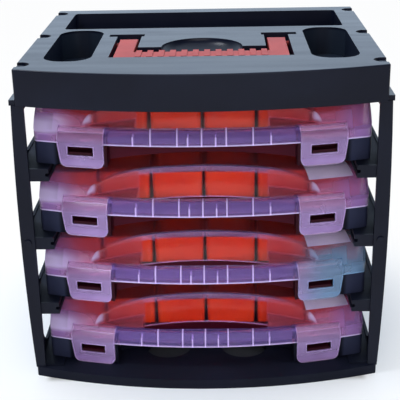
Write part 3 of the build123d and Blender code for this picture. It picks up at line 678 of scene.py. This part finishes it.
bow = Vector((0, BOW_CENTRE_Y, 0))
for n in LABELLED:
    level = FIRST_LEVEL + (CASE_COUNT - n) * CASE_PITCH
    crest = Vector((0, SHOULDER_Y, level + SHOULDER_Z))
    reach = Vector((0, 0, SHOULDER_RADIUS + LABEL_LIFT))
    shape = bmesh.new()
    dot = bmesh.ops.create_vert(shape, co=crest + Matrix.Rotation(LABEL_LOW, 3, "X") @ reach)["vert"]
    bmesh.ops.spin(shape, geom=dot, cent=crest, axis=(1, 0, 0), angle=LABEL_HIGH - LABEL_LOW,
                   steps=EDGE_STEPS)
    bmesh.ops.rotate(shape, verts=shape.verts, cent=bow, matrix=Matrix.Rotation(LABEL_FROM, 3, "Z"))
    bmesh.ops.spin(shape, geom=shape.verts[:] + shape.edges[:], cent=bow, axis=(0, 0, 1),
                   angle=LABEL_TO - LABEL_FROM, steps=LABEL_STEPS)
    bmesh.ops.recalc_face_normals(shape, faces=shape.faces)
    if sum(face.normal.z for face in shape.faces) < 0:
        bmesh.ops.reverse_faces(shape, faces=shape.faces)
    bmesh.ops.solidify(shape, geom=shape.faces, thickness=LABEL_THICK)
    label = add(f"label_{n}", shape, label_paper)
    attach(label, f"case_{n}")
    print(label.name, "at", [round(v, 4) for v in label.data.vertices[0].co])

# %% [markdown]
# ## The floor
# A product picture fades into white, but keeps the shadow under the product. Away from the rack the floor
# glows white to the eye, in mirrors and through the lids, and close to the rack it is an ordinary pale
# floor that takes the shadow. The patch right under the rack is a painted shadow in the floor's own
# colour. A floor lit until it is white would need so much light that the rack would look grey, so the glow
# is mixed in instead.

# %% Floor
FLOOR_SIZE = 12
UNDER_X, UNDER_SOFT_X = 0.150, 0.008
UNDER_Y, UNDER_SOFT_Y = 0.130, 0.010
GLOW_FROM, GLOW_FULL, GLOW_MOST = 0.11, 0.33, 0.95

floor_white = Finish("floor white", Roughness=0.9, Specular_IOR_Level=0.1)
x, y, _ = floor_white.parts(floor_white.where())
# Painted shadow: the floor's colour is dark right under the rack.
painted_shadow_under = band(x, 0, UNDER_X, UNDER_SOFT_X) * band(y, 0, UNDER_Y, UNDER_SOFT_Y)
floor_white.set("Base Color", floor_white.mix(
    painted_shadow_under, colour(0.86, 0.87, 0.88), colour(0.05, 0.055, 0.06)))
seen = (floor_white.ray("Camera") + floor_white.ray("Glossy")).either(floor_white.ray("Transmission"))
glow = floor_white.node("ShaderNodeEmission", values={"Color": colour(1, 1, 1), "Strength": 1.0})
floor_white.show(floor_white.blend(
    seen * length(x, y).ramp(GLOW_FROM, GLOW_FULL) * GLOW_MOST,
    Field(floor_white, floor_white.shader.outputs[0]), glow))

shape = bmesh.new()
bmesh.ops.create_grid(shape, x_segments=1, y_segments=1, size=FLOOR_SIZE)
floor = add("floor", shape, floor_white)
print("floor", 2 * FLOOR_SIZE, "m wide")

# %% [markdown]
# ## The lamps
# Large soft lamps give plastic its broad highlights, where small ones would leave hard bright spots. One
# panel hangs overhead, a small softbox high on the left gives the light a direction, and a wide panel at
# the front fills the bays.

# %% Lamps
def panel(name, place, target, size, watts, tint):
    lamp = bpy.data.lights.new(name, "AREA")
    lamp.shape = "RECTANGLE"
    lamp.size, lamp.size_y = size
    lamp.energy = watts
    lamp.color = tint
    made = bpy.data.objects.new(name, lamp)
    bpy.context.collection.objects.link(made)
    aim = (Vector(target) - Vector(place)).to_track_quat("-Z", "Y").to_matrix().to_4x4()
    made.matrix_world = Matrix.Translation(place) @ aim
    print(name, watts, "W")


panel("sky panel", (0, 0, 1.5), (0, 0, 0.15), (2.0, 1.4), 15, (0.80, 0.90, 1.0))
panel("left softbox", (-0.9, -0.3, 1.5), (-0.1, -0.05, 0.2), (0.45, 0.4), 14, (0.90, 0.94, 1.0))
panel("front panel", (0.2, -1.8, 0.75), (0, 0, 0.12), (1.6, 0.6), 13, (1.0, 0.97, 0.97))

# %% [markdown]
# ## The room
# The room is pale blue, dim behind the eye and bright behind the rack. The deck is seen at a low angle,
# so it mirrors the bright side. The eye itself sees plain white, also through the lids. A picture of a
# studio could light the scene as well, but a slope between two strengths needs no file.

# %% Room light
DIM_Y, BRIGHT_Y = -0.2, 0.9
DIMMEST, BRIGHTEST = 0.17, 1.85

world = bpy.data.worlds.new("room")
world.use_nodes = True
room = Graph(world.node_tree, "World Output")
pale_blue = room.tree.nodes["Background"]
ahead = room.node("ShaderNodeSeparateXYZ", values={
    0: room.node("ShaderNodeTexCoord", out="Generated")}, out="Y")
room.feed(pale_blue.inputs["Color"], colour(0.67, 0.82, 1.0))
room.feed(pale_blue.inputs["Strength"], ahead.ramp(DIM_Y, BRIGHT_Y, DIMMEST, BRIGHTEST))
white = room.node("ShaderNodeBackground", values={"Color": colour(1, 1, 1), "Strength": 1.0})
room.show(room.blend(room.ray("Camera").either(room.ray("Transmission")),
                     Field(room, pale_blue.outputs[0]), white))
bpy.context.scene.world = world
bpy.context.scene.view_settings.view_transform = "Standard"
print("room strength", DIMMEST, "to", BRIGHTEST)
